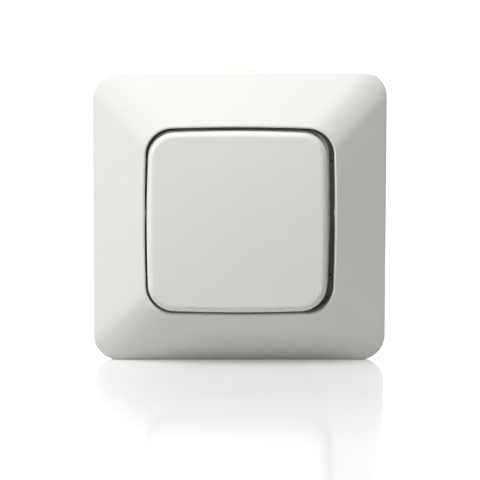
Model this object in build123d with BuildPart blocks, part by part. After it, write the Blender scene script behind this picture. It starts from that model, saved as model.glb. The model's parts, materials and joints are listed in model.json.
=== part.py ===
from build123d import *
from math import cos, hypot, radians, sin
import os

# One-gang flush light switch: a cover frame with a rocker, and the insert behind it.
# +X is right, +Z is up, and the wall's face is the plane Y = 0. The front looks along -Y.
# Heights are counted forward from the wall, so what lies behind the wall has a negative height.

# Cover frame
frame_side = 85.0
frame_corner = 7.3
frame_rim = 2.5
frame_wall = 2.0
rim_wall = 1.8
rim_edge_round = 0.6
rim_back_round = 0.25
lip_height = 10.0
lip_round = 0.45
opening_width = 55.1
opening_height = 55.0
opening_corner = 8.0
side_bow = 0.6
collar_wall = 1.7
collar_end = 3.2
slit_width = 0.6
slit_place = 16.8
slit_top = 6.0
rib_thick = 1.0
rib_places = (-26.0, -8.0, 8.0, 26.0)
rib_clear = 0.4
pry_lug_width = 8.2
pry_lug_rise = 0.3
pry_lug_depth = 1.3
pry_notch_width = 6.0
pry_notch_depth = 0.7
pry_notch_reach = 3.6
clip_bead_width = 3.0
clip_bead_rise = 0.35
clip_bead_depth = 0.9
clip_bead_height = 4.4

# Inner frame that closes the gap around the rocker
ledge_thick = 0.9
ledge_reach = 1.3
ledge_clear = 0.1
inner_wall = 1.0
inner_slit_depth = 1.8
screw_notch_width = 9.0

# Rocker, and how it tips: its top side is pressed in at rest
rocker_width = 52.6
rocker_height = 53.3
rocker_corner = 7.8
rocker_face = 11.8
rocker_crown_radius = 700.0
rocker_edge_round = 2.0
rocker_wall = 1.6
rocker_ceiling = 9.2
rocker_skirt_end = 5.8
rocker_side_play = 0.65
rocker_drop_play = 0.3
rocker_tip_angle = 2.5
pivot_height = 3.5

# The rocker's carrier, its trunnions and the barrel for the plunger
tumbler_width = 16.0
tumbler_length = 34.0
tumbler_plate = 1.8
tumbler_window_place = 10.5
tumbler_window_width = 8.8
tumbler_window_length = 7.5
tumbler_window_corner = 1.2
cheek_thick = 1.3
cheek_round = 2.4
trunnion_radius = 1.5
trunnion_reach = 11.2
barrel_radius = 3.5
barrel_end = -3.0
bore_radius = 2.05
bore_top = 5.6
prong_width = 9.0
prong_thick = 1.3
prong_clear = 0.1
prong_hook = 0.7
prong_hook_depth = 0.5
stop_rib_thick = 1.0

# Plunger and its spring
plunger_radius = 2.0
plunger_back = 1.0
plunger_tip = -9.5
plunger_neck_radius = 1.3
plunger_neck = -5.5
spring_wire = 0.25
spring_turns = 5
spring_clear = 0.15

# Steel ring
ring_width = 71.0
ring_corner = 8.0
ring_thick = 1.0
ring_hole_width = 27.0
ring_hole_height = 40.0
ring_hole_corner = 3.0
box_screw_spacing = 60.0
box_slot_length = 7.0
box_slot_width = 4.2
ring_notch_radius = 1.6
clip_tab_place = 12.0
clip_tab_width = 6.0
clip_tab_height = 4.5
clip_tab_clear = 0.15
clip_window_clear = 0.25

# Bearing cover in front of the ring
cover_width = 36.4
cover_height = 42.0
cover_corner = 3.0
cover_thick = 2.2
cover_window_width = 17.0
cover_window_height = 13.0
tower_thick = 2.6
tower_half = 4.0
tower_clear = 0.35
tower_cap = 0.9
tower_round = 1.0
running_clear = 0.05
cover_collar_wall = 1.5
cover_collar_clear = 0.2

# Moulded base behind the ring
base_width = 38.0
base_height = 48.0
base_radius = 27.0
base_depth = 21.5
base_edge = 1.0
cavity_width = 27.0
cavity_height = 42.0
cavity_corner = 2.5
cavity_depth = 18.8
port_place_x = 7.0
port_inset = 4.0
port_side = 3.4
port_funnel = 0.8
guide_rib_thick = 1.0
guide_rib_reach = 2.3
guide_rib_start = 3.0
guide_rib_end = 16.0
floor_rib_thick = 1.4
floor_rib_rise = 3.0
floor_rib_inset = 8.0
floor_rib_clear = 0.3

# Rivets through cover, ring and base
rivet_place_x = 16.0
rivet_place_z = 8.0
rivet_radius = 1.2
rivet_head_radius = 1.9
rivet_head_height = 0.8
rivet_head_round = 0.6
rivet_length = 8.0

# Contact lever and its contacts
lever_pivot = -11.0
lever_ratio = -3.0
lever_width = 6.0
lever_length = 22.0
lever_thick = 1.0
lever_corner = 1.0
lever_tip_clear = 0.04
lever_pin_radius = 0.8
lever_pin_reach = 5.3
contact_place = 9.0
contact_radius = 1.5
contact_thick = 0.7
contact_clear = 0.03

# Terminals, wire springs and release sliders
strip_thick = 0.8
common_ear_place = 4.4
common_ear_half = 2.2
common_ear_top = -10.2
wire_wall_inner = 10.0
wire_wall_front = -4.2
wire_wall_clear = 0.5
common_plate_half = 3.5
arm_thick = 1.0
arm_start = 6.5
arm_end = 12.0
arm_web = 2.0
clamp_thick = 0.35
clamp_width = 4.0
clamp_corner_place = 3.9
clamp_heel_place = 3.4
clamp_heel_drop = 0.8
clamp_blade_drop = 7.2
clamp_wire_gap = 0.4
slider_width = 4.0
slider_height = 2.6
slider_clear = 0.15
slider_proud = 0.6
slider_nose = -11.2
slider_wing_end = -13.5
slider_wing_reach = 5.3
slider_shoulder = 1.4
slider_shoulder_reach = 2.6
slider_slot_width = 2.0
slider_slot_height = 0.9

# Spreading claws, one at each side
claw_screw_place = 21.3
claw_screw_radius = 1.6
claw_screw_hole = 2.1
claw_screw_end = -16.0
claw_screw_chamfer = 0.5
claw_head_radius = 2.8
claw_head_height = 2.0
claw_head_round = 0.4
claw_head_slot = 0.8
claw_head_slot_depth = 1.1
claw_head_gap = 0.02
nut_inner = 19.25
nut_outer = 25.4
nut_width = 6.0
nut_front = -10.0
nut_thick = 3.5
claw_pivot_x = 23.9
claw_pivot_depth = 2.0
claw_lean = 12.7
claw_length = 13.0
claw_thick = 1.0
claw_width = 9.0
claw_eye_radius = 1.8
claw_pin_radius = 0.7
claw_gap_half = 2.35
claw_gap_end = 6.0
tooth_reach = 0.8
tooth_length = 1.6
tooth_gap_length = 4.0
ear_clear = 0.3
ear_thick = 1.0
ear_half = 1.5
ear_depth = 3.6


def facing(height):
    """Sketch plane parallel to the wall, at a height in front of it; its own Y is up."""
    return Plane(origin=(0, -height, 0), x_dir=(1, 0, 0), z_dir=(0, -1, 0))


def tipped(pivot, angle, height):
    """Sketch plane turned by an angle about the left-right line at a pivot height."""
    turn = radians(angle)
    through_pivot = Plane(origin=(0, -pivot, 0), x_dir=(1, 0, 0), z_dir=(0, -cos(turn), -sin(turn)))
    return through_pivot.offset(height - pivot)


def rocking(height):
    """Sketch plane of the rocker and its carrier, tipped with the top side pressed in."""
    return tipped(pivot_height, -rocker_tip_angle, height)


def lever_plane(height, side=-1):
    """Sketch plane of the contact lever at the side where it closes: -1 lower, 1 upper."""
    return tipped(lever_pivot, side * rocker_tip_angle * lever_ratio, height)


def bowed_outline(width, height, bow, corner):
    """Rectangle whose sides bulge outwards by a bow, with rounded corners."""
    right = width / 2
    top = height / 2
    with BuildSketch(mode=Mode.PRIVATE) as outline:
        with BuildLine():
            ThreePointArc((bow - right, bow - top), (0, -top), (right - bow, bow - top))
            ThreePointArc((right - bow, bow - top), (right, 0), (right - bow, top - bow))
            ThreePointArc((right - bow, top - bow), (0, top), (bow - right, top - bow))
            ThreePointArc((bow - right, top - bow), (-right, 0), (bow - right, bow - top))
        make_face()
        fillet(outline.vertices(), corner)
    return outline.sketch


# Places along the base that follow its cavity
port_place_z = cavity_height / 2 - port_inset
floor_rib_place = cavity_height / 2 - floor_rib_inset
wire_wall_end = cavity_height / 2 - wire_wall_clear

# Space under the frame's sloped faces, with the stiffening ribs left out of it
frame_slope = (lip_height - frame_rim) / ((frame_side - opening_width) / 2)
slope_drop = frame_wall * hypot(1, frame_slope)


def underside_height(reach):
    """Height of the frame's underside at a distance from the middle."""
    return frame_rim + frame_slope * (frame_side / 2 - reach) - slope_drop


hollow_reach = frame_side / 2 - rim_wall
hollow_low = underside_height(hollow_reach)
collar_reach = opening_width / 2 + collar_wall
collar_corner = opening_corner + collar_wall
hollow_high = underside_height(collar_reach)

with BuildPart() as frame_hollow:
    with BuildSketch(facing(0)):
        RectangleRounded(2 * hollow_reach, 2 * hollow_reach, frame_corner - rim_wall)
    extrude(amount=hollow_low)
    with BuildSketch(facing(hollow_low)):
        RectangleRounded(2 * hollow_reach, 2 * hollow_reach, frame_corner - rim_wall)
    with BuildSketch(facing(hollow_high)):
        RectangleRounded(2 * collar_reach, 2 * collar_reach, collar_corner)
    loft(ruled=True)
    with BuildSketch(facing(ring_thick + rib_clear)):
        for place in rib_places:
            with Locations((place, 0)):
                Rectangle(rib_thick, frame_side)
            with Locations((0, place)):
                Rectangle(frame_side, rib_thick)
        RectangleRounded(2 * collar_reach, 2 * collar_reach, collar_corner, mode=Mode.SUBTRACT)
    extrude(amount=lip_height, mode=Mode.SUBTRACT)

# Cover frame: sloped faces between the rim and the lip, and a collar inside
with BuildPart() as cover_frame:
    with BuildSketch(facing(0)):
        RectangleRounded(frame_side, frame_side, frame_corner)
    extrude(amount=frame_rim)
    with BuildSketch(facing(frame_rim)):
        RectangleRounded(frame_side, frame_side, frame_corner)
    with BuildSketch(facing(lip_height)):
        add(bowed_outline(opening_width, opening_height, side_bow, opening_corner))
    loft(ruled=True)
    fillet(cover_frame.edges().filter_by_position(Axis.Y, -frame_rim, -frame_rim), rim_edge_round)
    add(frame_hollow.part, mode=Mode.SUBTRACT)
    with BuildSketch(facing(collar_end)):
        RectangleRounded(2 * collar_reach, 2 * collar_reach, collar_corner)
    extrude(amount=hollow_high - collar_end)
    with BuildSketch(facing(collar_end)):
        add(bowed_outline(opening_width, opening_height, side_bow, opening_corner))
    extrude(amount=lip_height, mode=Mode.SUBTRACT)
    fillet(cover_frame.edges().group_by(Axis.Y)[0], lip_round)
    with BuildSketch(facing(collar_end)):
        for place in (-slit_place, slit_place):
            with Locations((place, 0)):
                Rectangle(slit_width, 2 * collar_reach)
            with Locations((0, place)):
                Rectangle(2 * collar_reach, slit_width)
    extrude(amount=slit_top - collar_end, mode=Mode.SUBTRACT)
    bead_reach = collar_reach + clip_bead_rise
    with BuildSketch(facing(clip_bead_height - clip_bead_depth / 2)):
        with GridLocations(2 * clip_tab_place, collar_reach + bead_reach, 2, 2):
            Rectangle(clip_bead_width, clip_bead_rise)
    extrude(amount=clip_bead_depth)
    rim_edges = cover_frame.faces().sort_by(Axis.Y)[-1].outer_wire().edges()
    fillet(rim_edges, rim_back_round)
    with BuildSketch(facing(0)):
        with Locations((0, frame_side / 2)):
            Rectangle(pry_lug_width, 2 * pry_lug_rise)
    extrude(amount=pry_lug_depth)
    with BuildSketch(facing(0)):
        with Locations((0, frame_side / 2)):
            Rectangle(pry_notch_width, 2 * pry_notch_reach)
    extrude(amount=pry_notch_depth, mode=Mode.SUBTRACT)

# Inner frame: a ledge just inside the collar, on a wall that stands on the ring
ledge_top = collar_end + ledge_thick
inner_width = opening_width - 2 * ledge_reach
inner_height = opening_height - 2 * ledge_reach

with BuildPart() as inner_frame:
    with BuildSketch(facing(ring_thick)):
        add(
            bowed_outline(
                inner_width + 2 * inner_wall,
                inner_height + 2 * inner_wall,
                side_bow,
                opening_corner,
            )
        )
    extrude(amount=ledge_top - ring_thick)
    with BuildSketch(facing(collar_end)):
        add(
            bowed_outline(
                opening_width - 2 * ledge_clear,
                opening_height - 2 * ledge_clear,
                side_bow,
                opening_corner - ledge_clear,
            )
        )
    extrude(amount=ledge_thick)
    with BuildSketch(facing(ring_thick)):
        add(bowed_outline(inner_width, inner_height, side_bow, opening_corner - inner_wall))
    extrude(amount=ledge_top, mode=Mode.SUBTRACT)
    with BuildSketch(facing(ledge_top)):
        for place in (-slit_place, slit_place):
            with Locations((place, 0)):
                Rectangle(slit_width, opening_height)
            with Locations((0, place)):
                Rectangle(opening_width, slit_width)
    extrude(amount=-inner_slit_depth, mode=Mode.SUBTRACT)
    with BuildSketch(facing(ring_thick)):
        Rectangle(opening_width, screw_notch_width)
    extrude(amount=collar_end - ring_thick, mode=Mode.SUBTRACT)

# Rocker: a crowned cap with a skirt, prongs that grip the carrier and two stop ribs
with BuildPart() as rocker:
    with BuildSketch(rocking(rocker_skirt_end)):
        with Locations((-rocker_side_play, -rocker_drop_play)):
            add(bowed_outline(rocker_width, rocker_height, side_bow, rocker_corner))
    extrude(amount=rocker_face + rocker_wall - rocker_skirt_end)
    with Locations(rocking(rocker_face - rocker_crown_radius)):
        with Locations((-rocker_side_play, -rocker_drop_play)):
            Sphere(rocker_crown_radius, rotation=(90, 0, 0), mode=Mode.INTERSECT)
    fillet(rocker.faces().filter_by(GeomType.SPHERE)[0].edges(), rocker_edge_round)
    with BuildSketch(rocking(rocker_skirt_end)):
        with Locations((-rocker_side_play, -rocker_drop_play)):
            add(
                bowed_outline(
                    rocker_width - 2 * rocker_wall,
                    rocker_height - 2 * rocker_wall,
                    side_bow,
                    rocker_corner - rocker_wall,
                )
            )
    extrude(amount=rocker_ceiling - rocker_skirt_end, mode=Mode.SUBTRACT)
    prong_place = tumbler_length / 2 + prong_clear + prong_thick / 2
    prong_length = tumbler_plate + prong_clear + prong_hook_depth
    with BuildSketch(rocking(rocker_ceiling)):
        with GridLocations(0, 2 * prong_place, 1, 2):
            Rectangle(prong_width, prong_thick)
    extrude(amount=-prong_length)
    hook_place = prong_place - (prong_thick + prong_hook) / 2
    with BuildSketch(rocking(rocker_ceiling - prong_length)):
        with GridLocations(0, 2 * hook_place, 1, 2):
            Rectangle(prong_width, prong_hook)
    extrude(amount=prong_hook_depth)
    stop_place = tumbler_width / 2 + rocker_side_play + stop_rib_thick / 2 + prong_clear
    with BuildSketch(rocking(rocker_ceiling)):
        with Locations((-rocker_side_play, -rocker_drop_play)):
            with GridLocations(2 * stop_place, 0, 2, 1):
                Rectangle(stop_rib_thick, rocker_height - 2 * rocker_wall)
    extrude(amount=-(tumbler_plate - prong_clear))

# The rocker's carrier, with trunnions at both sides and the plunger's barrel
cheek_place = tumbler_width / 2 - cheek_thick / 2
tumbler_underside = rocker_ceiling - tumbler_plate

with BuildPart() as tumbler:
    with BuildSketch(rocking(rocker_ceiling)):
        Rectangle(tumbler_width, tumbler_length)
        with GridLocations(0, 2 * tumbler_window_place, 1, 2):
            RectangleRounded(
                tumbler_window_width,
                tumbler_window_length,
                tumbler_window_corner,
                mode=Mode.SUBTRACT,
            )
    extrude(amount=-tumbler_plate)
    with BuildSketch(Plane.YZ.offset(cheek_place - cheek_thick / 2)) as cheek:
        with Locations((-pivot_height, 0)):
            Circle(cheek_round)
        with Locations((-(pivot_height + tumbler_underside) / 2, 0)):
            Rectangle(tumbler_underside - pivot_height, 2 * cheek_round)
    extrude(amount=cheek_thick)
    extrude(cheek.sketch, amount=cheek_thick - 2 * cheek_place - cheek_thick)
    with BuildSketch(Plane.YZ.offset(-trunnion_reach)):
        with Locations((-pivot_height, 0)):
            Circle(trunnion_radius)
    extrude(amount=2 * trunnion_reach)
    with BuildSketch(rocking(tumbler_underside)):
        Circle(barrel_radius)
    extrude(amount=barrel_end - tumbler_underside)
    with BuildSketch(rocking(barrel_end)):
        Circle(bore_radius)
    extrude(amount=bore_top - barrel_end, mode=Mode.SUBTRACT)

# Plunger: a turned pin with a thinner neck and a ball end
with BuildPart() as plunger:
    with BuildSketch(rocking(plunger_back)):
        Circle(plunger_radius)
    extrude(amount=plunger_neck - plunger_back)
    chamfer(plunger.edges().group_by(Axis.Y)[-1], plunger_radius - plunger_neck_radius)
    with BuildSketch(rocking(plunger_neck)):
        Circle(plunger_neck_radius)
    extrude(amount=plunger_tip + plunger_neck_radius - plunger_neck)
    with Locations(rocking(plunger_tip + plunger_neck_radius)):
        Sphere(plunger_neck_radius)

# Plunger spring: a coil between the barrel's blind end and the plunger's back
spring_seat = rocking(plunger_back + spring_wire + running_clear)
spring_rise = bore_top - plunger_back - 2 * (spring_wire + running_clear)
spring_radius = bore_radius - spring_wire - spring_clear

with BuildPart() as plunger_spring:
    with BuildLine() as coil:
        Helix(
            spring_rise / spring_turns,
            spring_rise,
            spring_radius,
            center=spring_seat.origin,
            direction=spring_seat.z_dir,
        )
    with BuildSketch(Plane(origin=coil.line @ 0, z_dir=coil.line % 0)):
        Circle(spring_wire)
    sweep(is_frenet=True)

# Steel ring with its screw slots, clip tabs for the frame and ears for the claws
tab_inner = collar_reach + clip_tab_clear
tab_place = tab_inner + ring_thick / 2
tab_window = clip_tab_height + clip_window_clear
ear_place = claw_width / 2 + ear_clear + ear_thick / 2

with BuildPart() as support_ring:
    with BuildSketch(facing(0)):
        RectangleRounded(ring_width, ring_width, ring_corner)
        RectangleRounded(ring_hole_width, ring_hole_height, ring_hole_corner, mode=Mode.SUBTRACT)
        with GridLocations(box_screw_spacing, 0, 2, 1):
            SlotOverall(box_slot_length, box_slot_width, mode=Mode.SUBTRACT)
        with GridLocations(2 * claw_screw_place, 0, 2, 1):
            Circle(claw_screw_hole, mode=Mode.SUBTRACT)
        with GridLocations(2 * rivet_place_x, 2 * rivet_place_z, 2, 2):
            Circle(rivet_radius + running_clear, mode=Mode.SUBTRACT)
        with GridLocations(2 * clip_tab_place, 2 * tab_inner - tab_window, 2, 2):
            Rectangle(clip_tab_width + 2 * clip_window_clear, tab_window, mode=Mode.SUBTRACT)
        with PolarLocations(ring_width / 2, 4):
            Circle(ring_notch_radius, mode=Mode.SUBTRACT)
    extrude(amount=ring_thick)
    with BuildSketch(facing(ring_thick)):
        with GridLocations(2 * clip_tab_place, 2 * tab_place, 2, 2):
            Rectangle(clip_tab_width, ring_thick)
    extrude(amount=clip_tab_height)
    with BuildSketch(facing(clip_bead_height - clip_bead_depth / 2 - clip_window_clear)):
        with GridLocations(2 * clip_tab_place, 2 * tab_place, 2, 2):
            Rectangle(clip_bead_width + 2 * clip_window_clear, 2 * ring_thick)
    extrude(amount=clip_bead_depth + 2 * clip_window_clear, mode=Mode.SUBTRACT)
    with BuildSketch(Plane.XY):
        with GridLocations(2 * claw_pivot_x, 0, 2, 1):
            with Locations((0, ear_depth / 2)):
                Rectangle(2 * ear_half, ear_depth)
        with GridLocations(2 * claw_pivot_x, 0, 2, 1):
            with Locations((0, claw_pivot_depth)):
                Circle(claw_pin_radius + running_clear, mode=Mode.SUBTRACT)
    extrude(amount=ear_place + ear_thick / 2, both=True)
    with BuildSketch(Plane.XY):
        with Locations((0, ear_depth)):
            Rectangle(ring_width, 2 * ear_depth)
    extrude(amount=ear_place - ear_thick / 2, both=True, mode=Mode.SUBTRACT)

# Bearing cover: a plate on the ring with a window for the barrel and two bearing towers
cover_front = ring_thick + cover_thick
tower_place = tumbler_width / 2 + tower_clear + tower_thick / 2
tower_top = pivot_height + trunnion_radius + tower_cap

with BuildPart() as base_cover:
    with BuildSketch(facing(ring_thick)):
        RectangleRounded(cover_width, cover_height, cover_corner)
        Rectangle(cover_window_width, cover_window_height, mode=Mode.SUBTRACT)
        with GridLocations(2 * rivet_place_x, 2 * rivet_place_z, 2, 2):
            Circle(rivet_radius + running_clear, mode=Mode.SUBTRACT)
    extrude(amount=cover_thick)
    with BuildSketch(facing(cover_collar_clear)):
        RectangleRounded(
            ring_hole_width - 2 * cover_collar_clear,
            ring_hole_height - 2 * cover_collar_clear,
            ring_hole_corner,
        )
        Rectangle(
            ring_hole_width - 2 * (cover_collar_clear + cover_collar_wall),
            ring_hole_height - 2 * (cover_collar_clear + cover_collar_wall),
            mode=Mode.SUBTRACT,
        )
    extrude(amount=ring_thick - cover_collar_clear)
    with BuildSketch(facing(cover_front)):
        with GridLocations(2 * tower_place, 0, 2, 1):
            Rectangle(tower_thick, 2 * tower_half)
    extrude(amount=tower_top - cover_front)
    tower_edges = base_cover.faces().sort_by(Axis.Y)[0:2].edges().filter_by(Axis.X)
    fillet(tower_edges, tower_round)
    with BuildSketch(Plane.YZ):
        with Locations((-pivot_height, 0)):
            Circle(trunnion_radius + running_clear)
    extrude(amount=tower_place + tower_thick, both=True, mode=Mode.SUBTRACT)

# Moulded base: a deep cup with rounded corners, wire ports and guides for the claw nuts
with BuildPart() as switch_base:
    with BuildSketch(facing(0)):
        Circle(base_radius)
        Rectangle(base_width, base_height, mode=Mode.INTERSECT)
    extrude(amount=-base_depth)
    chamfer(switch_base.edges().group_by(Axis.Y)[-1], base_edge)
    with BuildSketch(facing(0)):
        RectangleRounded(cavity_width, cavity_height, cavity_corner)
    extrude(amount=-cavity_depth, mode=Mode.SUBTRACT)
    with BuildSketch(facing(-cavity_depth)):
        with GridLocations(0, 2 * floor_rib_place, 1, 2):
            Rectangle(2 * (wire_wall_inner - floor_rib_clear), floor_rib_thick)
    extrude(amount=floor_rib_rise)
    with BuildSketch(facing(-guide_rib_start)):
        guide_place = nut_width / 2 + ear_clear + guide_rib_thick / 2
        with GridLocations(base_width + guide_rib_reach, 2 * guide_place, 2, 2):
            Rectangle(guide_rib_reach, guide_rib_thick)
    extrude(amount=guide_rib_start - guide_rib_end)
    with BuildSketch(facing(0)):
        with GridLocations(2 * rivet_place_x, 2 * rivet_place_z, 2, 2):
            Circle(rivet_radius + running_clear)
    extrude(amount=-(rivet_length + running_clear), mode=Mode.SUBTRACT)
    with BuildSketch(facing(-base_depth)):
        with GridLocations(2 * port_place_x, 2 * port_place_z, 2, 2):
            Rectangle(port_side, port_side)
    extrude(amount=base_depth - cavity_depth, mode=Mode.SUBTRACT)
    with BuildSketch(facing(-base_depth)):
        with GridLocations(2 * port_place_x, 2 * port_place_z, 2, 2):
            Rectangle(port_side + 2 * port_funnel, port_side + 2 * port_funnel)
    extrude(amount=port_funnel, taper=45, mode=Mode.SUBTRACT)
    with BuildSketch(facing(-base_depth)):
        with GridLocations(0, 2 * port_place_z, 1, 2):
            Rectangle(slider_width + 2 * slider_clear, slider_height + 2 * slider_clear)
    extrude(amount=base_depth - cavity_depth, mode=Mode.SUBTRACT)

# Rivets that hold cover, ring and base together
with BuildPart() as base_rivets:
    with BuildSketch(facing(-rivet_length)):
        with GridLocations(2 * rivet_place_x, 2 * rivet_place_z, 2, 2):
            Circle(rivet_radius)
    extrude(amount=rivet_length + cover_front)
    with BuildSketch(facing(cover_front)):
        with GridLocations(2 * rivet_place_x, 2 * rivet_place_z, 2, 2):
            Circle(rivet_head_radius)
    extrude(amount=rivet_head_height)
    fillet(base_rivets.edges().group_by(Axis.Y)[0], rivet_head_round)

# Contact lever: a strip on a rolled pivot, with a contact rivet at each end
lever_front = plunger_tip - lever_tip_clear
lever_back = lever_front - lever_thick

with BuildPart() as contact_lever:
    with BuildSketch(lever_plane(lever_back)):
        RectangleRounded(lever_width, lever_length, lever_corner)
    extrude(amount=lever_thick)
    with BuildSketch(Plane.YZ.offset(-lever_pin_reach)):
        with Locations((-lever_pivot, 0)):
            Circle(lever_pin_radius)
    extrude(amount=2 * lever_pin_reach)

with BuildPart() as moving_contacts:
    with BuildSketch(lever_plane(lever_back)):
        with GridLocations(0, 2 * contact_place, 1, 2):
            Circle(contact_radius)
    extrude(amount=-contact_thick)

# The fixed contacts meet the lever's rivets, and sit on the arms of the two outputs
fixed_front = lever_back - contact_thick - contact_clear
arm_front = fixed_front - contact_thick
arm_back = arm_front - arm_thick

with BuildPart() as fixed_contacts:
    for side in (-1, 1):
        with BuildSketch(lever_plane(arm_front, side)):
            with Locations((0, side * contact_place)):
                Circle(contact_radius)
        extrude(amount=contact_thick)


def output_terminal(side):
    """Strip under one fixed contact, with the wall that a wire is pressed against."""
    with BuildPart() as terminal:
        with BuildSketch(lever_plane(arm_back, side)):
            with Locations((0, side * (arm_start + arm_end) / 2)):
                Rectangle(lever_width, arm_end - arm_start)
            with Locations((-wire_wall_inner / 2, side * (arm_end - arm_web / 2))):
                Rectangle(wire_wall_inner + strip_thick, arm_web)
        extrude(amount=arm_thick)
        with BuildSketch(Plane.YZ.offset(-wire_wall_inner)):
            with Locations(((cavity_depth - wire_wall_front) / 2, side * (wire_wall_end + arm_start) / 2)):
                Rectangle(cavity_depth + wire_wall_front, wire_wall_end - arm_start)
        extrude(amount=-strip_thick)
    return terminal.part


# Common strip: two ears with notches for the lever's pivot, and one long wire wall
with BuildPart() as common_terminal:
    with BuildSketch(facing(-cavity_depth)):
        with Locations(((wire_wall_inner - common_ear_place) / 2, 0)):
            Rectangle(wire_wall_inner + common_ear_place + strip_thick, 2 * common_plate_half)
    extrude(amount=strip_thick)
    with BuildSketch(Plane.YZ.offset(-common_ear_place - strip_thick / 2)) as ear:
        with Locations(((cavity_depth - common_ear_top) / 2, 0)):
            Rectangle(cavity_depth + common_ear_top, 2 * common_ear_half)
        with Locations((-lever_pivot, 0)):
            Circle(lever_pin_radius + running_clear, mode=Mode.SUBTRACT)
        with Locations((-(lever_pivot + common_ear_top) / 2, 0)):
            Rectangle(
                common_ear_top - lever_pivot,
                2 * (lever_pin_radius + running_clear),
                mode=Mode.SUBTRACT,
            )
    extrude(amount=strip_thick)
    with BuildSketch(Plane.YZ.offset(common_ear_place - strip_thick / 2)):
        add(ear.sketch_local)
    extrude(amount=strip_thick)
    with BuildSketch(Plane.YZ.offset(wire_wall_inner)):
        with Locations(((cavity_depth - wire_wall_front) / 2, 0)):
            Rectangle(cavity_depth + wire_wall_front, 2 * wire_wall_end)
    extrude(amount=strip_thick)

# Leaf springs that press the wires against the walls
spring_wall = wire_wall_inner - running_clear
clamp_front = -wire_wall_front + clamp_thick
clamp_heel = clamp_front + clamp_heel_drop
clamp_reach = clamp_front + clamp_blade_drop

with BuildPart() as clamp_springs:
    for side in (-1, 1):
        with BuildSketch(Plane.XY.offset(side * port_place_z)):
            with BuildLine():
                Polyline(
                    (spring_wall, clamp_front),
                    (clamp_corner_place, clamp_front),
                    (clamp_heel_place, clamp_heel),
                    (spring_wall - clamp_wire_gap, clamp_reach),
                )
            trace(line_width=clamp_thick)
        extrude(amount=clamp_width / 2, both=True)
    mirror(about=Plane.YZ)


def release_slider(side):
    """Slider in the base's back that a screwdriver pushes in to free the wires."""
    place = side * port_place_z
    with BuildPart() as slider:
        with BuildSketch(facing(-base_depth - slider_proud)):
            with Locations((0, place)):
                Rectangle(slider_width, slider_height)
        extrude(amount=base_depth + slider_proud + slider_nose)
        with BuildSketch(facing(slider_wing_end)):
            with Locations((0, place)):
                Rectangle(2 * slider_wing_reach, slider_height)
        extrude(amount=slider_nose - slider_wing_end)
        with BuildSketch(facing(-cavity_depth + slider_clear)):
            with Locations((0, place)):
                Rectangle(2 * slider_shoulder_reach, slider_height)
        extrude(amount=slider_shoulder)
        with BuildSketch(facing(-base_depth - slider_proud)):
            with Locations((0, place)):
                Rectangle(slider_slot_width, slider_slot_height)
        extrude(amount=slider_proud, mode=Mode.SUBTRACT)
    return slider.part


def claw_screw(side):
    """Slotted screw that draws the claw's nut forward."""
    seat = ring_thick + claw_head_gap
    with BuildPart() as screw:
        with BuildSketch(facing(seat)):
            with Locations((side * claw_screw_place, 0)):
                Circle(claw_head_radius)
        extrude(amount=claw_head_height)
        fillet(screw.edges().group_by(Axis.Y)[0], claw_head_round)
        with BuildSketch(facing(seat + claw_head_height)):
            with Locations((side * claw_screw_place, 0)):
                Rectangle(claw_head_slot, 2 * claw_head_radius)
        extrude(amount=-claw_head_slot_depth, mode=Mode.SUBTRACT)
        with BuildSketch(facing(seat)):
            with Locations((side * claw_screw_place, 0)):
                Circle(claw_screw_radius)
        extrude(amount=claw_screw_end - seat)
        chamfer(screw.edges().group_by(Axis.Y)[-1], claw_screw_chamfer)
    return screw.part


def claw_nut(side):
    """Sliding nut that spreads the claw as the screw draws it forward."""
    with BuildPart() as nut:
        with BuildSketch(facing(nut_front)):
            with Locations((side * (nut_inner + nut_outer) / 2, 0)):
                Rectangle(nut_outer - nut_inner, nut_width)
            with Locations((side * claw_screw_place, 0)):
                Circle(claw_screw_radius + running_clear, mode=Mode.SUBTRACT)
        extrude(amount=-nut_thick)
    return nut.part


def claw(side):
    """Stamped claw that swings out on its pin, with teeth at its far end."""
    lean = radians(claw_lean)
    pivot_x = side * claw_pivot_x
    along = (side * sin(lean), cos(lean))
    out = (side * cos(lean), -sin(lean))

    def at(length, height):
        """Point beside the claw's arm, counted along it from the pin and outwards."""
        return (
            pivot_x + length * along[0] + height * out[0],
            claw_pivot_depth + length * along[1] + height * out[1],
        )

    with BuildPart() as stamped:
        with BuildSketch(Plane.XY):
            with Locations((pivot_x, claw_pivot_depth)):
                Circle(claw_eye_radius)
            with BuildLine():
                Polyline(
                    at(0, 0),
                    at(claw_length, 0),
                    at(claw_length, claw_thick + tooth_reach),
                    at(claw_length - tooth_length, claw_thick),
                    at(0, claw_thick),
                    close=True,
                )
            make_face()
            with Locations((pivot_x, claw_pivot_depth)):
                Circle(claw_pin_radius + running_clear, mode=Mode.SUBTRACT)
        extrude(amount=claw_width / 2, both=True)
        with BuildSketch(Plane.XY):
            with Locations((pivot_x, claw_gap_end / 2 - claw_eye_radius)):
                Rectangle(4 * claw_eye_radius, claw_gap_end + 2 * claw_eye_radius)
        extrude(amount=claw_gap_half, both=True, mode=Mode.SUBTRACT)
        with BuildSketch(Plane.YZ):
            with Locations((claw_pivot_depth + claw_length, 0)):
                Rectangle(2 * tooth_gap_length, 2 * claw_gap_half)
        extrude(amount=side * 2 * claw_pivot_x, mode=Mode.SUBTRACT)
    return stamped.part


# Pins that the claws swing on, held in the ring's ears
with BuildPart() as claw_pins:
    with BuildSketch(Plane.XY):
        with GridLocations(2 * claw_pivot_x, 0, 2, 1):
            with Locations((0, claw_pivot_depth)):
                Circle(claw_pin_radius)
    extrude(amount=ear_place + ear_thick / 2, both=True)

# One file for each piece
os.makedirs("parts", exist_ok=True)

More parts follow.
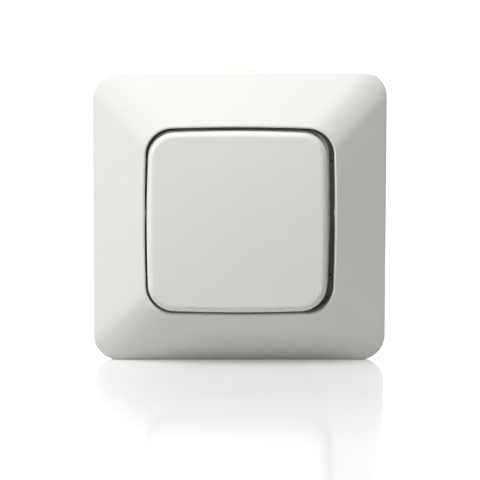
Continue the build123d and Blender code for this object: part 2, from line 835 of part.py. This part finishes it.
cover_frame.part.label = "cover_frame"
export_step(cover_frame.part, "parts/cover_frame.step")
inner_frame.part.label = "inner_frame"
export_step(inner_frame.part, "parts/inner_frame.step")
rocker.part.label = "rocker"
export_step(rocker.part, "parts/rocker.step")
tumbler.part.label = "tumbler"
export_step(tumbler.part, "parts/tumbler.step")
plunger.part.label = "plunger"
export_step(plunger.part, "parts/plunger.step")
plunger_spring.part.label = "plunger_spring"
export_step(plunger_spring.part, "parts/plunger_spring.step")
support_ring.part.label = "support_ring"
export_step(support_ring.part, "parts/support_ring.step")
base_cover.part.label = "base_cover"
export_step(base_cover.part, "parts/base_cover.step")
switch_base.part.label = "switch_base"
export_step(switch_base.part, "parts/switch_base.step")
base_rivets.part.label = "base_rivets"
export_step(base_rivets.part, "parts/base_rivets.step")
contact_lever.part.label = "contact_lever"
export_step(contact_lever.part, "parts/contact_lever.step")
moving_contacts.part.label = "moving_contacts"
export_step(moving_contacts.part, "parts/moving_contacts.step")
fixed_contacts.part.label = "fixed_contacts"
export_step(fixed_contacts.part, "parts/fixed_contacts.step")
common_terminal.part.label = "common_terminal"
export_step(common_terminal.part, "parts/common_terminal.step")
clamp_springs.part.label = "clamp_springs"
export_step(clamp_springs.part, "parts/clamp_springs.step")
claw_pins.part.label = "claw_pins"
export_step(claw_pins.part, "parts/claw_pins.step")

# The pieces made in pairs
output_terminal_lower = output_terminal(-1)
output_terminal_lower.label = "output_terminal_lower"
export_step(output_terminal_lower, "parts/output_terminal_lower.step")
output_terminal_upper = output_terminal(1)
output_terminal_upper.label = "output_terminal_upper"
export_step(output_terminal_upper, "parts/output_terminal_upper.step")
release_slider_lower = release_slider(-1)
release_slider_lower.label = "release_slider_lower"
export_step(release_slider_lower, "parts/release_slider_lower.step")
release_slider_upper = release_slider(1)
release_slider_upper.label = "release_slider_upper"
export_step(release_slider_upper, "parts/release_slider_upper.step")
claw_screw_left = claw_screw(-1)
claw_screw_left.label = "claw_screw_left"
export_step(claw_screw_left, "parts/claw_screw_left.step")
claw_screw_right = claw_screw(1)
claw_screw_right.label = "claw_screw_right"
export_step(claw_screw_right, "parts/claw_screw_right.step")
claw_nut_left = claw_nut(-1)
claw_nut_left.label = "claw_nut_left"
export_step(claw_nut_left, "parts/claw_nut_left.step")
claw_nut_right = claw_nut(1)
claw_nut_right.label = "claw_nut_right"
export_step(claw_nut_right, "parts/claw_nut_right.step")
claw_left = claw(-1)
claw_left.label = "claw_left"
export_step(claw_left, "parts/claw_left.step")
claw_right = claw(1)
claw_right.label = "claw_right"
export_step(claw_right, "parts/claw_right.step")
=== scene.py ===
import json
import math

import bpy
from bpy.props import FloatProperty, FloatVectorProperty, PointerProperty
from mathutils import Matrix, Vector

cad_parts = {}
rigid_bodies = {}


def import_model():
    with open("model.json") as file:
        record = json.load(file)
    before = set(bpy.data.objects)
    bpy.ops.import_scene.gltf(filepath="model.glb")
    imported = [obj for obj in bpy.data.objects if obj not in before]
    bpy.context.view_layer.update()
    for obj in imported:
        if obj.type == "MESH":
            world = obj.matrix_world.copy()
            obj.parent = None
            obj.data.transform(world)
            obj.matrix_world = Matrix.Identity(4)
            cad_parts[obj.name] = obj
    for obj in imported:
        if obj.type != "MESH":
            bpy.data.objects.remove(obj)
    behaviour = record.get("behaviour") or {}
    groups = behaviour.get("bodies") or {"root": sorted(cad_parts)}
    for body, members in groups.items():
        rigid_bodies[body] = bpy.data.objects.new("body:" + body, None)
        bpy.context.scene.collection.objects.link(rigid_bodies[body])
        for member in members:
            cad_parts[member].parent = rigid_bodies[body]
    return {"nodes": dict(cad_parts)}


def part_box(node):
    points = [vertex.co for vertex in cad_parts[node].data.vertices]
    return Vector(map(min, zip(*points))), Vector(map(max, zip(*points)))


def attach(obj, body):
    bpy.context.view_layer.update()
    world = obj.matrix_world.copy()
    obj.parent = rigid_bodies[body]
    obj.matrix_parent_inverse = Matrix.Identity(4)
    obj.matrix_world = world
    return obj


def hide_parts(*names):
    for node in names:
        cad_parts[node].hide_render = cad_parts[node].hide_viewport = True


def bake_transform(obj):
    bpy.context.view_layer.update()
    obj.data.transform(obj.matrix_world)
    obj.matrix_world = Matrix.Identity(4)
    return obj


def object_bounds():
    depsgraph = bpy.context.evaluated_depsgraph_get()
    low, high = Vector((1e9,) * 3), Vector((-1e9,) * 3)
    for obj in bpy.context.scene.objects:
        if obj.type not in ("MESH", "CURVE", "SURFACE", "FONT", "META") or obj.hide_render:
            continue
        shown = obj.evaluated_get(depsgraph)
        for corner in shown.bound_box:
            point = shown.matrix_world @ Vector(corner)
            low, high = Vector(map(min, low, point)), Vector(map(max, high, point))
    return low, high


bl_info = {
    "name": "Flush Light Switch",
    "version": (1, 0, 0),
    "blender": (4, 5, 0),
    "location": "View3D > Sidebar > Light Switch",
    "description": "Finishes a flush rocker light switch and lights it in a pale studio",
    "category": "Object",
}

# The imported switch: every piece stands where its drawing puts it, in metres
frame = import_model()
cad_low, cad_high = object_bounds()


def colour_property(name, description, default):
    """A colour that the sidebar shows as a swatch."""
    return FloatVectorProperty(
        name=name, description=description, default=default, subtype="COLOR", size=3, min=0.0, max=1.0
    )


class LightSwitchPlastics(bpy.types.PropertyGroup):
    """Colours and surface of the moulded pieces."""

    white: colour_property("White", "Cover frame and rocker", (0.80, 0.80, 0.765))
    # Painted shade: the inner frame's dark grey stands in for the shade in the gap around the rocker
    inner: colour_property("Inner frame", "Dark grey frame around the rocker", (0.17, 0.17, 0.165))
    cover: colour_property("Bearing cover", "Pale grey cover in front of the ring", (0.60, 0.60, 0.58))
    base: colour_property("Base", "Dark grey moulded base", (0.045, 0.047, 0.05))
    carrier: colour_property("Carrier", "Natural nylon carrier and plunger", (0.72, 0.68, 0.58))
    slider: colour_property("Release sliders", "Moulded release sliders", (0.75, 0.16, 0.02))
    gloss_roughness: FloatProperty(
        name="Gloss roughness", description="Roughness of the white pieces", default=0.26, min=0.0, max=1.0
    )
    matte_roughness: FloatProperty(
        name="Matte roughness", description="Roughness of the insert's plastics",
        default=0.58, min=0.0, max=1.0,
    )
    grain_size: FloatProperty(
        name="Grain size", description="Width of the fine mould texture", default=0.00035, unit="LENGTH"
    )
    grain_depth: FloatProperty(
        name="Grain depth", description="Depth of the fine mould texture", default=0.000001, unit="LENGTH"
    )


class LightSwitchMetals(bpy.types.PropertyGroup):
    """Colours and surface of the metal pieces."""

    steel: colour_property("Ring steel", "Zinc plated pressed steel", (0.58, 0.59, 0.60))
    screw: colour_property("Screw steel", "Yellow zinc plated screws and nuts", (0.74, 0.62, 0.36))
    spring: colour_property("Spring steel", "Bright springs", (0.50, 0.50, 0.51))
    brass: colour_property("Brass", "Terminals, contact lever and rivets", (0.80, 0.56, 0.24))
    silver: colour_property("Silver", "Contact faces", (0.84, 0.83, 0.80))
    roughness: FloatProperty(
        name="Roughness", description="Mean roughness of the metals", default=0.36, min=0.0, max=1.0
    )
    spangle_size: FloatProperty(
        name="Spangle size", description="Width of the plating's crystals", default=0.0016, unit="LENGTH"
    )


class LightSwitchScrews(bpy.types.PropertyGroup):
    """Shape of the screws that draw the claws out."""

    pitch: FloatProperty(
        name="Thread pitch", description="Travel of the nut in one turn", default=0.001, unit="LENGTH"
    )
    thread_depth: FloatProperty(
        name="Thread depth", description="From the crest to the root", default=0.0003, unit="LENGTH"
    )
    shank_radius: FloatProperty(
        name="Shank radius", description="To the thread's crest", default=0.0016, unit="LENGTH"
    )
    head_height: FloatProperty(
        name="Head height", description="Height of the slotted head", default=0.002, unit="LENGTH"
    )
    head_round: FloatProperty(
        name="Head rounding", description="Rounding of the head's front edge", default=0.0007, unit="LENGTH"
    )
    slot_width: FloatProperty(
        name="Slot width", description="Width of the driver slot", default=0.0008, unit="LENGTH"
    )
    slot_depth: FloatProperty(
        name="Slot depth", description="Depth of the driver slot", default=0.0011, unit="LENGTH"
    )


class LightSwitchStudio(bpy.types.PropertyGroup):
    """Camera, lamps and floor."""

    camera_azimuth: FloatProperty(
        name="Azimuth", description="Camera's turn to the right of straight ahead",
        default=math.radians(-0.66), subtype="ANGLE",
    )
    camera_elevation: FloatProperty(
        name="Elevation", description="Camera's height above the level",
        default=math.radians(10.92), subtype="ANGLE",
    )
    camera_roll: FloatProperty(
        name="Roll", description="Turn of the picture", default=math.radians(0.17), subtype="ANGLE"
    )
    camera_distance: FloatProperty(
        name="Distance", description="From the switch to the camera", default=1.4, unit="LENGTH"
    )
    camera_lens: FloatProperty(name="Lens", description="Focal length in millimetres", default=360.2)
    aim_side: FloatProperty(
        name="Aim side", description="How far to the right of the switch's middle the camera aims",
        default=0.00017, unit="LENGTH",
    )
    aim_drop: FloatProperty(
        name="Aim drop", description="How far under the switch's middle the camera aims",
        default=0.00735, unit="LENGTH",
    )
    high_power: FloatProperty(name="High lamp", description="Watts of the high front lamp", default=16.2)
    left_power: FloatProperty(name="Left lamp", description="Watts of the lamp at the left", default=6.3)
    front_power: FloatProperty(name="Front lamp", description="Watts of the low front lamp", default=1.0)
    rear_power: FloatProperty(name="Rear lamp", description="Watts of the lamp behind", default=5.0)
    lamp_distance: FloatProperty(
        name="Lamp distance", description="From the switch to each lamp", default=1.2, unit="LENGTH"
    )
    lamp_side: FloatProperty(
        name="Lamp side", description="Side of each square lamp", default=0.6, unit="LENGTH"
    )
    ambient: FloatProperty(name="Ambient", description="Light from all around", default=0.0)
    floor: colour_property("Floor", "Pale floor", (0.5, 0.5, 0.5))
    floor_side: FloatProperty(name="Floor side", description="Side of the floor", default=6.0, unit="LENGTH")
    floor_roughness: FloatProperty(
        name="Floor roughness", description="Blur of the switch's reflection", default=0.12, min=0.0, max=1.0
    )
    # Painted shade on the floor: the camera's white glow is weaker around a point in front of the switch and
    # grows to the full glow further out
    shade_fade_ahead: FloatProperty(
        name="Fade ahead", description="How far in front of the wall's plane the fade to white is centred",
        default=0.025, unit="LENGTH",
    )
    shade_fade_start: FloatProperty(
        name="Fade start", description="Radius at which the floor starts to whiten",
        default=0.02, unit="LENGTH",
    )
    shade_fade_end: FloatProperty(
        name="Fade end", description="Radius past which the floor is white", default=0.09, unit="LENGTH"
    )
    shaded_glow_near: FloatProperty(
        name="Glow near", description="White added to the floor at the switch", default=0.19
    )
    glow_far: FloatProperty(
        name="Glow far", description="White added to the floor further out", default=0.36
    )


# Materials. Their patterns follow Object coordinates, and each piece's object is at the origin.
def new_material(name, colour, roughness, metallic=0.0):
    """A material with its shader and the coordinates that its patterns read."""
    material = bpy.data.materials.new(name)
    material.use_nodes = True
    nodes = material.node_tree.nodes
    shader = nodes["Principled BSDF"]
    shader.inputs["Base Color"].default_value = (*colour, 1.0)
    shader.inputs["Roughness"].default_value = roughness
    shader.inputs["Metallic"].default_value = metallic
    place = nodes.new("ShaderNodeTexCoord").outputs["Object"]
    return material, shader, place


def noise(material, place, size, detail=2.0, stretch=None):
    """Noise with features of a size in metres, drawn out along an axis where stretch is given."""
    nodes, links = material.node_tree.nodes, material.node_tree.links
    if stretch:
        mapping = nodes.new("ShaderNodeMapping")
        mapping.inputs["Scale"].default_value = stretch
        links.new(place, mapping.inputs["Vector"])
        place = mapping.outputs["Vector"]
    texture = nodes.new("ShaderNodeTexNoise")
    texture.inputs["Scale"].default_value = 1.0 / size
    texture.inputs["Detail"].default_value = detail
    links.new(place, texture.inputs["Vector"])
    return texture.outputs["Fac"]


def vary_colour(material, shader, pattern, colour, other):
    """Base colour that wanders between two colours with a pattern."""
    nodes, links = material.node_tree.nodes, material.node_tree.links
    ramp = nodes.new("ShaderNodeValToRGB")
    ramp.color_ramp.elements[0].position = 0.3
    ramp.color_ramp.elements[0].color = (*colour, 1.0)
    ramp.color_ramp.elements[1].position = 0.7
    ramp.color_ramp.elements[1].color = (*other, 1.0)
    links.new(pattern, ramp.inputs["Fac"])
    links.new(ramp.outputs["Color"], shader.inputs["Base Color"])


def vary_roughness(material, shader, pattern, low, high):
    """Roughness that wanders between two values with a pattern."""
    nodes, links = material.node_tree.nodes, material.node_tree.links
    spread = nodes.new("ShaderNodeMapRange")
    spread.inputs["From Min"].default_value = 0.3
    spread.inputs["From Max"].default_value = 0.7
    spread.inputs["To Min"].default_value = low
    spread.inputs["To Max"].default_value = high
    links.new(pattern, spread.inputs["Value"])
    links.new(spread.outputs["Result"], shader.inputs["Roughness"])


def raise_grain(material, shader, pattern, depth):
    """Bump of a depth in metres from a pattern."""
    nodes, links = material.node_tree.nodes, material.node_tree.links
    bump = nodes.new("ShaderNodeBump")
    bump.inputs["Strength"].default_value = 1.0
    bump.inputs["Distance"].default_value = depth
    links.new(pattern, bump.inputs["Height"])
    links.new(bump.outputs["Normal"], shader.inputs["Normal"])


def scaled(colour, factor):
    """A colour made darker or paler by a factor."""
    return tuple(min(1.0, channel * factor) for channel in colour)


def white_plastic():
    """Glossy white moulding: an even skin with a trace of mould texture."""
    look = bpy.context.scene.light_switch_plastics
    material, shader, place = new_material("white_plastic", look.white, look.gloss_roughness)
    drift, cloud = noise(material, place, 0.03), noise(material, place, 0.004, 3.0)
    vary_colour(material, shader, drift, look.white, scaled(look.white, 0.985))
    vary_roughness(material, shader, cloud, look.gloss_roughness - 0.01, look.gloss_roughness + 0.01)
    raise_grain(material, shader, noise(material, place, look.grain_size, 1.0), look.grain_depth)
    return material


def matte_plastic(name, colour):
    """Matte moulding of the insert, with a coarser mould texture."""
    look = bpy.context.scene.light_switch_plastics
    material, shader, place = new_material(name, colour, look.matte_roughness)
    drift, cloud = noise(material, place, 0.006, 4.0), noise(material, place, 0.002)
    vary_colour(material, shader, drift, colour, scaled(colour, 0.9))
    vary_roughness(material, shader, cloud, look.matte_roughness - 0.08, look.matte_roughness + 0.08)
    raise_grain(material, shader, noise(material, place, look.grain_size, 2.0), 4 * look.grain_depth)
    return material


def plated_steel(name, colour, warmer):
    """Pressed steel under a zinc coat: crystals of slightly different brightness."""
    look = bpy.context.scene.light_switch_metals
    material, shader, place = new_material(name, colour, look.roughness, metallic=1.0)
    nodes, links = material.node_tree.nodes, material.node_tree.links
    crystals = nodes.new("ShaderNodeTexVoronoi")
    crystals.inputs["Scale"].default_value = 1.0 / look.spangle_size
    links.new(place, crystals.inputs["Vector"])
    vary_colour(material, shader, crystals.outputs["Color"], colour, warmer)
    cloud = noise(material, place, 0.0012, 3.0)
    vary_roughness(material, shader, cloud, look.roughness - 0.08, look.roughness + 0.10)
    raise_grain(material, shader, noise(material, place, 0.0005, 3.0), 0.000005)
    return material


def drawn_metal(name, colour, stretch):
    """Rolled or drawn metal with fine lines along its length."""
    look = bpy.context.scene.light_switch_metals
    material, shader, place = new_material(name, colour, look.roughness, metallic=1.0)
    lines = noise(material, place, 0.0004, 3.0, stretch)
    vary_colour(material, shader, lines, colour, scaled(colour, 0.86))
    vary_roughness(material, shader, lines, look.roughness - 0.12, look.roughness + 0.04)
    raise_grain(material, shader, lines, 0.000004)
    return material


def finish_nodes(material, *names):
    """Gives a material to pieces whose shape is final."""
    for name in names:
        piece = frame["nodes"][name]
        piece.data.materials.clear()
        piece.data.materials.append(material)


class LIGHTSWITCH_OT_cover_and_rocker(bpy.types.Operator):
    """Finishes the cover frame and the rocker in glossy white, and the inner frame in dark grey, a painted
    shade for the gap around the rocker
    """

    bl_idname = "light_switch.cover_and_rocker"
    bl_label = "Cover frame and rocker"

    def execute(self, context):
        look = context.scene.light_switch_plastics
        finish_nodes(white_plastic(), "cover_frame", "rocker")
        # Painted shade: dark grey on the inner frame makes the gap around the rocker read as shaded
        finish_nodes(matte_plastic("dark_inner_frame", look.inner), "inner_frame")
        return {"FINISHED"}


class LIGHTSWITCH_OT_ring_and_claws(bpy.types.Operator):
    """Finishes the steel ring, the claws and their pins in plated steel"""

    bl_idname = "light_switch.ring_and_claws"
    bl_label = "Ring and claws"

    def execute(self, context):
        steel = context.scene.light_switch_metals.steel
        material = plated_steel("plated_steel", steel, scaled(steel, 1.12))
        finish_nodes(material, "support_ring", "claw_left", "claw_right", "claw_pins")
        return {"FINISHED"}


def apply_modifier(piece, kind, **settings):
    """Adds a modifier to a piece and applies it."""
    modifier = piece.modifiers.new(kind.title(), kind)
    for name, value in settings.items():
        setattr(modifier, name, value)
    bpy.context.view_layer.objects.active = piece
    bpy.ops.object.modifier_apply(modifier=modifier.name)


def wind_thread(low, high, look):
    """Threaded shank along Y: one turn of the thread's outline, wound up and cut square at both ends."""
    axis_x = (low.x + high.x) / 2
    turns = math.ceil((high.y - low.y) / look.pitch) + 2
    bpy.ops.object.select_all(action="DESELECT")
    bpy.ops.mesh.primitive_plane_add(size=look.pitch, location=(axis_x, low.y - look.pitch, 0))
    shank = bpy.context.active_object
    root = look.shank_radius - look.thread_depth
    outline = {(-1, -1): (root, 0.0), (1, -1): (look.shank_radius, 0.4),
               (1, 1): (look.shank_radius, 0.55), (-1, 1): (root, 1.0)}
    for corner in shank.data.vertices:
        side = (round(math.copysign(1, corner.co.x)), round(math.copysign(1, corner.co.y)))
        radius, share = outline[side]
        corner.co = (radius, share * look.pitch, 0.0)
    bpy.ops.object.mode_set(mode="EDIT")
    bpy.ops.mesh.select_mode(type="FACE")
    bpy.ops.mesh.select_all(action="SELECT")
    bpy.ops.mesh.delete(type="ONLY_FACE")
    bpy.ops.mesh.select_mode(type="EDGE")
    bpy.ops.mesh.select_all(action="DESELECT")
    bpy.ops.object.mode_set(mode="OBJECT")
    for edge in shank.data.edges:
        ends = [shank.data.vertices[v].co.x for v in edge.vertices]
        edge.select = max(ends) < look.shank_radius - look.thread_depth / 2
    bpy.ops.object.mode_set(mode="EDIT")
    bpy.ops.mesh.delete(type="EDGE")
    bpy.ops.object.mode_set(mode="OBJECT")
    apply_modifier(
        shank, "SCREW", axis="Y", steps=32, render_steps=32, iterations=turns,
        screw_offset=look.pitch, use_merge_vertices=True, merge_threshold=0.00001,
    )
    bpy.ops.object.transform_apply(location=True, rotation=True, scale=True)
    bpy.ops.object.mode_set(mode="EDIT")
    for place, direction in ((low.y + look.head_height, -1), (high.y, 1)):
        bpy.ops.mesh.select_all(action="SELECT")
        bpy.ops.mesh.bisect(
            plane_co=(axis_x, place, 0), plane_no=(0, direction, 0), use_fill=True, clear_outer=True
        )
    bpy.ops.mesh.select_all(action="SELECT")
    bpy.ops.mesh.remove_doubles(threshold=0.000005)
    bpy.ops.mesh.normals_make_consistent(inside=False)
    bpy.ops.object.mode_set(mode="OBJECT")
    return shank


def turn_head(low, high, look):
    """Round head with a rounded front edge and a driver slot."""
    axis_x = (low.x + high.x) / 2
    radius = (high.x - low.x) / 2
    middle = low.y + look.head_height / 2
    bpy.ops.object.select_all(action="DESELECT")
    bpy.ops.mesh.primitive_cylinder_add(
        vertices=64, radius=radius, depth=look.head_height,
        location=(axis_x, middle, 0), rotation=(math.pi / 2, 0, 0),
    )
    head = bpy.context.active_object
    bpy.ops.object.transform_apply(location=True, rotation=True, scale=True)
    bpy.ops.object.mode_set(mode="EDIT")
    bpy.ops.mesh.select_mode(type="FACE")
    bpy.ops.mesh.select_all(action="DESELECT")
    bpy.ops.object.mode_set(mode="OBJECT")
    for face in head.data.polygons:
        face.select = face.normal.y < -0.9
    bpy.ops.object.mode_set(mode="EDIT")
    bpy.ops.mesh.bevel(offset=look.head_round, segments=5, affect="EDGES")
    bpy.ops.object.mode_set(mode="OBJECT")

    bpy.ops.object.select_all(action="DESELECT")
    bpy.ops.mesh.primitive_cube_add(size=1.0, location=(axis_x, low.y, 0))
    cutter = bpy.context.active_object
    cutter.scale = (look.slot_width, 2 * look.slot_depth, 3 * radius)
    bpy.ops.object.transform_apply(location=True, rotation=True, scale=True)
    apply_modifier(head, "BOOLEAN", operation="DIFFERENCE", solver="EXACT", object=cutter)
    bpy.data.objects.remove(cutter)
    return head


def join_pieces(name, *parts):
    """Joins parts into one piece with smooth rounds and crisp edges."""
    bpy.ops.object.select_all(action="DESELECT")
    for part in parts:
        part.select_set(True)
    bpy.context.view_layer.objects.active = parts[0]
    bpy.ops.object.join()
    piece = bpy.context.active_object
    piece.name = name
    bpy.ops.object.shade_smooth_by_angle(angle=math.radians(35))
    return piece


class LIGHTSWITCH_OT_claw_screws(bpy.types.Operator):
    """Models the claw screws with their thread and slot, and finishes them and their nuts"""

    bl_idname = "light_switch.claw_screws"
    bl_label = "Claw screws"

    def execute(self, context):
        look = context.scene.light_switch_screws
        colour = context.scene.light_switch_metals.screw
        plating = plated_steel("yellow_plating", colour, (colour[0] * 1.05, colour[1], colour[2] * 0.7))
        for side in ("left", "right"):
            low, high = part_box(f"claw_screw_{side}")
            screw = join_pieces(
                f"threaded_screw_{side}", turn_head(low, high, look), wind_thread(low, high, look)
            )
            screw.data.materials.clear()
            screw.data.materials.append(plating)
            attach(screw, f"claw_screw_{side}")
            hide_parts(f"claw_screw_{side}")
        finish_nodes(plating, "claw_nut_left", "claw_nut_right")
        return {"FINISHED"}


class LIGHTSWITCH_OT_base_and_cover(bpy.types.Operator):
    """Finishes the moulded base, its cover and the release sliders"""

    bl_idname = "light_switch.base_and_cover"
    bl_label = "Base and bearing cover"

    def execute(self, context):
        look = context.scene.light_switch_plastics
        finish_nodes(matte_plastic("dark_base", look.base), "switch_base")
        finish_nodes(matte_plastic("pale_cover", look.cover), "base_cover")
        finish_nodes(
            matte_plastic("slider_colour", look.slider), "release_slider_lower", "release_slider_upper"
        )
        return {"FINISHED"}


def merged_copy(node, name):
    """Copy of a drawn piece as one joined mesh."""
    bpy.ops.object.select_all(action="DESELECT")
    source = frame["nodes"][node]
    source.select_set(True)
    bpy.context.view_layer.objects.active = source
    bpy.ops.object.duplicate()
    piece = bpy.context.active_object
    piece.name = name
    bpy.ops.object.parent_clear(type="CLEAR_KEEP_TRANSFORM")
    bpy.ops.object.transform_apply(location=True, rotation=True, scale=True)
    bpy.ops.object.mode_set(mode="EDIT")
    bpy.ops.mesh.select_all(action="SELECT")
    bpy.ops.mesh.remove_doubles(threshold=0.000001)
    bpy.ops.object.mode_set(mode="OBJECT")
    return piece


class LIGHTSWITCH_OT_rocker_mechanism(bpy.types.Operator):
    """Finishes the rocker's carrier, the plunger and the springs, and shows the plunger's spring as a merged
    copy in its place
    """

    bl_idname = "light_switch.rocker_mechanism"
    bl_label = "Rocker mechanism"

    def execute(self, context):
        nylon = context.scene.light_switch_plastics.carrier
        finish_nodes(matte_plastic("natural_nylon", nylon), "tumbler", "plunger")
        spring = context.scene.light_switch_metals.spring
        wire = drawn_metal("drawn_spring_wire", spring, (1, 1, 1))
        finish_nodes(wire, "plunger_spring", "clamp_springs")
        coil = merged_copy("plunger_spring", "plunger_coil")
        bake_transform(coil)
        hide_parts("plunger_spring")
        return {"FINISHED"}


class LIGHTSWITCH_OT_contacts_and_terminals(bpy.types.Operator):
    """Finishes the brass strips, the contact lever, the rivets and the silver contacts"""

    bl_idname = "light_switch.contacts_and_terminals"
    bl_label = "Contacts and terminals"

    def execute(self, context):
        look = context.scene.light_switch_metals
        finish_nodes(
            drawn_metal("rolled_brass", look.brass, (1, 1, 0.08)),
            "contact_lever", "common_terminal", "output_terminal_lower", "output_terminal_upper",
            "base_rivets",
        )
        finish_nodes(drawn_metal("silver_face", look.silver, (1, 1, 1)), "moving_contacts", "fixed_contacts")
        return {"FINISHED"}


# Where each lamp stands: degrees to the right of straight ahead, and above the level
LAMP_DIRECTIONS = {
    "high": (-45.0, 65.0),
    "left": (-80.0, 50.0),
    "front": (0.0, 15.0),
    "rear": (180.0, 25.0),
}


def add_lamp(name, azimuth, elevation, distance, size, power):
    """Square soft lamp that faces the switch from a direction in degrees."""
    turn, rise = math.radians(azimuth), math.radians(elevation)
    towards = Vector((math.sin(turn) * math.cos(rise), -math.cos(turn) * math.cos(rise), math.sin(rise)))
    bpy.ops.object.light_add(type="AREA", location=towards * distance)
    lamp = bpy.context.active_object
    lamp.name = name
    lamp.rotation_euler = towards.to_track_quat("Z", "Y").to_euler()
    lamp.data.shape = "SQUARE"
    lamp.data.size = size
    lamp.data.energy = power
    return lamp


def floor_material(look):
    """Pale glossy floor with the switch's reflection; the camera's white glow is weaker near the switch, a
    painted shade that fades to white around it.
    """
    material, shader, place = new_material("pale_floor", look.floor, look.floor_roughness)
    nodes, links = material.node_tree.nodes, material.node_tree.links
    # Painted shade: less white glow near the switch than further out
    distance = nodes.new("ShaderNodeVectorMath")
    distance.operation = "DISTANCE"
    distance.inputs[1].default_value = (0.0, -look.shade_fade_ahead, cad_low.z)
    links.new(place, distance.inputs[0])
    fade = nodes.new("ShaderNodeMapRange")
    fade.inputs["From Min"].default_value = look.shade_fade_start
    fade.inputs["From Max"].default_value = look.shade_fade_end
    fade.inputs["To Min"].default_value = look.shaded_glow_near
    fade.inputs["To Max"].default_value = look.glow_far
    links.new(distance.outputs["Value"], fade.inputs["Value"])
    seen = nodes.new("ShaderNodeMath")
    seen.operation = "MULTIPLY"
    links.new(fade.outputs["Result"], seen.inputs[0])
    links.new(nodes.new("ShaderNodeLightPath").outputs["Is Camera Ray"], seen.inputs[1])
    links.new(seen.outputs["Value"], shader.inputs["Emission Strength"])
    shader.inputs["Emission Color"].default_value = (1.0, 1.0, 1.0, 1.0)
    return material


class LIGHTSWITCH_OT_stage(bpy.types.Operator):
    """Adds the pale floor, the lamps, the white surroundings and the camera"""

    bl_idname = "light_switch.stage"
    bl_label = "Studio"

    def execute(self, context):
        look = context.scene.light_switch_studio
        bpy.ops.object.select_all(action="DESELECT")
        bpy.ops.mesh.primitive_plane_add(size=look.floor_side, location=(0, 0, cad_low.z))
        floor = context.active_object
        floor.name = "floor"
        bpy.ops.object.transform_apply(location=True, rotation=True, scale=True)
        floor.data.materials.append(floor_material(look))

        for name, (azimuth, elevation) in LAMP_DIRECTIONS.items():
            power = getattr(look, f"{name}_power")
            add_lamp(f"{name}_lamp", azimuth, elevation, look.lamp_distance, look.lamp_side, power)
        self.surround(context.scene, look.ambient)
        self.place_camera(context.scene, look)
        context.scene.view_settings.view_transform = "Standard"
        return {"FINISHED"}

    def surround(self, scene, ambient):
        """White where the camera, gloss or glass sees it, and dim as a source of light."""
        world = bpy.data.worlds.new("surroundings")
        scene.world = world
        world.use_nodes = True
        nodes, links = world.node_tree.nodes, world.node_tree.links
        path = nodes.new("ShaderNodeLightPath")
        white = path.outputs["Is Camera Ray"]
        for ray in ("Is Glossy Ray", "Is Transmission Ray"):
            either = nodes.new("ShaderNodeMath")
            either.operation = "MAXIMUM"
            links.new(white, either.inputs[0])
            links.new(path.outputs[ray], either.inputs[1])
            white = either.outputs["Value"]
        strength = nodes.new("ShaderNodeMapRange")
        strength.inputs["To Min"].default_value = ambient
        strength.inputs["To Max"].default_value = 1.0
        links.new(white, strength.inputs["Value"])
        background = nodes["Background"]
        background.inputs["Color"].default_value = (1.0, 1.0, 1.0, 1.0)
        links.new(strength.outputs["Result"], background.inputs["Strength"])

    def place_camera(self, scene, look):
        """Camera at the viewing angle, aimed a little under the switch's middle."""
        turn, rise = look.camera_azimuth, look.camera_elevation
        back = Vector((math.sin(turn) * math.cos(rise), -math.cos(turn) * math.cos(rise), math.sin(rise)))
        aim = Vector((look.aim_side, 0.0, -look.aim_drop))
        bpy.ops.object.camera_add(location=aim + back * look.camera_distance)
        camera = bpy.context.active_object
        camera.name = "camera"
        camera.rotation_euler = back.to_track_quat("Z", "Y").to_euler()
        camera.rotation_euler.rotate_axis("Z", look.camera_roll)
        camera.data.lens = look.camera_lens
        camera.data.sensor_width = 36.0
        camera.data.clip_start = 0.05
        camera.data.clip_end = 50.0
        scene.camera = camera


class LIGHTSWITCH_PT_sidebar(bpy.types.Panel):
    """Sizes, colours and steps of the light switch"""

    bl_idname = "LIGHTSWITCH_PT_sidebar"
    bl_label = "Light Switch"
    bl_space_type = "VIEW_3D"
    bl_region_type = "UI"
    bl_category = "Light Switch"

    def draw(self, context):
        for group in GROUPS:
            settings = getattr(context.scene, group)
            box = self.layout.box()
            for name in settings.__annotations__:
                box.prop(settings, name)
        for operator in OPERATORS:
            self.layout.operator(operator.bl_idname)


OPERATORS = (
    LIGHTSWITCH_OT_cover_and_rocker,
    LIGHTSWITCH_OT_ring_and_claws,
    LIGHTSWITCH_OT_claw_screws,
    LIGHTSWITCH_OT_base_and_cover,
    LIGHTSWITCH_OT_rocker_mechanism,
    LIGHTSWITCH_OT_contacts_and_terminals,
    LIGHTSWITCH_OT_stage,
)
GROUPS = {
    "light_switch_plastics": LightSwitchPlastics,
    "light_switch_metals": LightSwitchMetals,
    "light_switch_screws": LightSwitchScrews,
    "light_switch_studio": LightSwitchStudio,
}


def register():
    for part in (*GROUPS.values(), *OPERATORS, LIGHTSWITCH_PT_sidebar):
        bpy.utils.register_class(part)
    for name, group in GROUPS.items():
        setattr(bpy.types.Scene, name, PointerProperty(type=group))


def unregister():
    for name in GROUPS:
        delattr(bpy.types.Scene, name)
    for part in reversed((*GROUPS.values(), *OPERATORS, LIGHTSWITCH_PT_sidebar)):
        bpy.utils.unregister_class(part)


def main():
    """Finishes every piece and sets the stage."""
    register()
    bpy.ops.light_switch.cover_and_rocker()
    bpy.ops.light_switch.ring_and_claws()
    bpy.ops.light_switch.claw_screws()
    bpy.ops.light_switch.base_and_cover()
    bpy.ops.light_switch.rocker_mechanism()
    bpy.ops.light_switch.contacts_and_terminals()
    bpy.ops.light_switch.stage()


if __name__ == "__main__":
    main()
